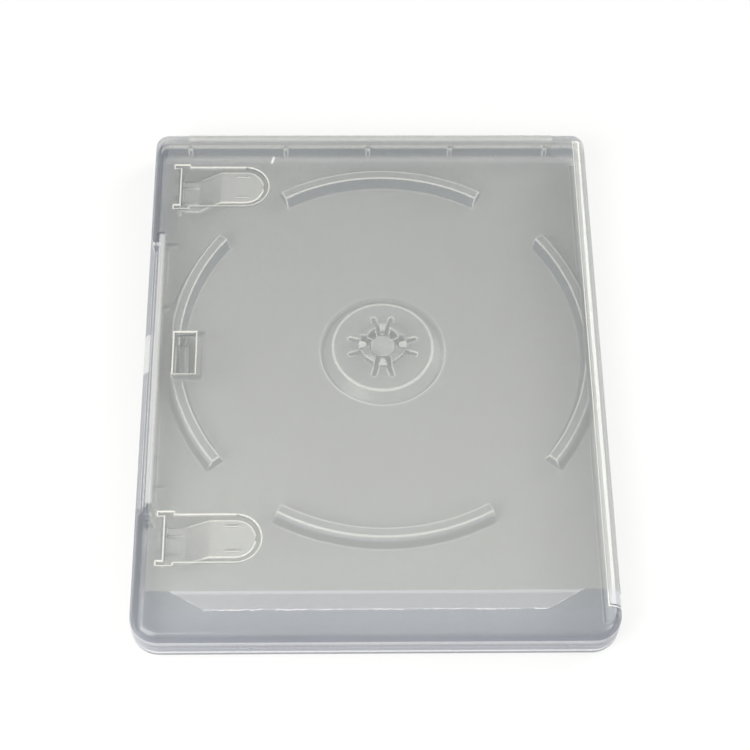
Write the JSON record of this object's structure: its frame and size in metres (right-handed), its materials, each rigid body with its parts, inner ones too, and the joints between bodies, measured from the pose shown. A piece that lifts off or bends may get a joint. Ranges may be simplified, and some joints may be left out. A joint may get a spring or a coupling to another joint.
{
  "type": "game disc case",
  "caption": "Flat hinged case of translucent plastic that holds a disc on a snap hub, with booklet clips, a finger recess and a clear film sleeve round the outside.",
  "frame": {"origin": "middle of the back face on which the closed case lies", "axes": "+X from the free edge to the spine, +Y from the plain band to the far edge, +Z from the back to the front cover"},
  "size_m": [0.135, 0.171, 0.014],
  "materials": {
    "moulding": "milky translucent polypropylene, satin",
    "film": "clear film, glossy"
  },
  "bodies": {
    "tray_leaf": {"disc_tray": "moulding", "sleeve_back": "film"},
    "spine_leaf": {"spine": "moulding", "sleeve_spine": "film"},
    "cover_leaf": {"front_cover": "moulding", "sleeve_front": "film"}
  },
  "joints": [
    {"name": "back_hinge", "type": "hinge", "parent": "tray_leaf", "child": "spine_leaf", "pos_m": [0.06639, 0, 0.00111], "axis": [0, 1, 0], "range_deg": [0, 90]},
    {"name": "front_hinge", "type": "hinge", "parent": "spine_leaf", "child": "cover_leaf", "pos_m": [0.06639, 0, 0.01289], "axis": [0, 1, 0], "range_deg": [0, 90]}
  ]
}
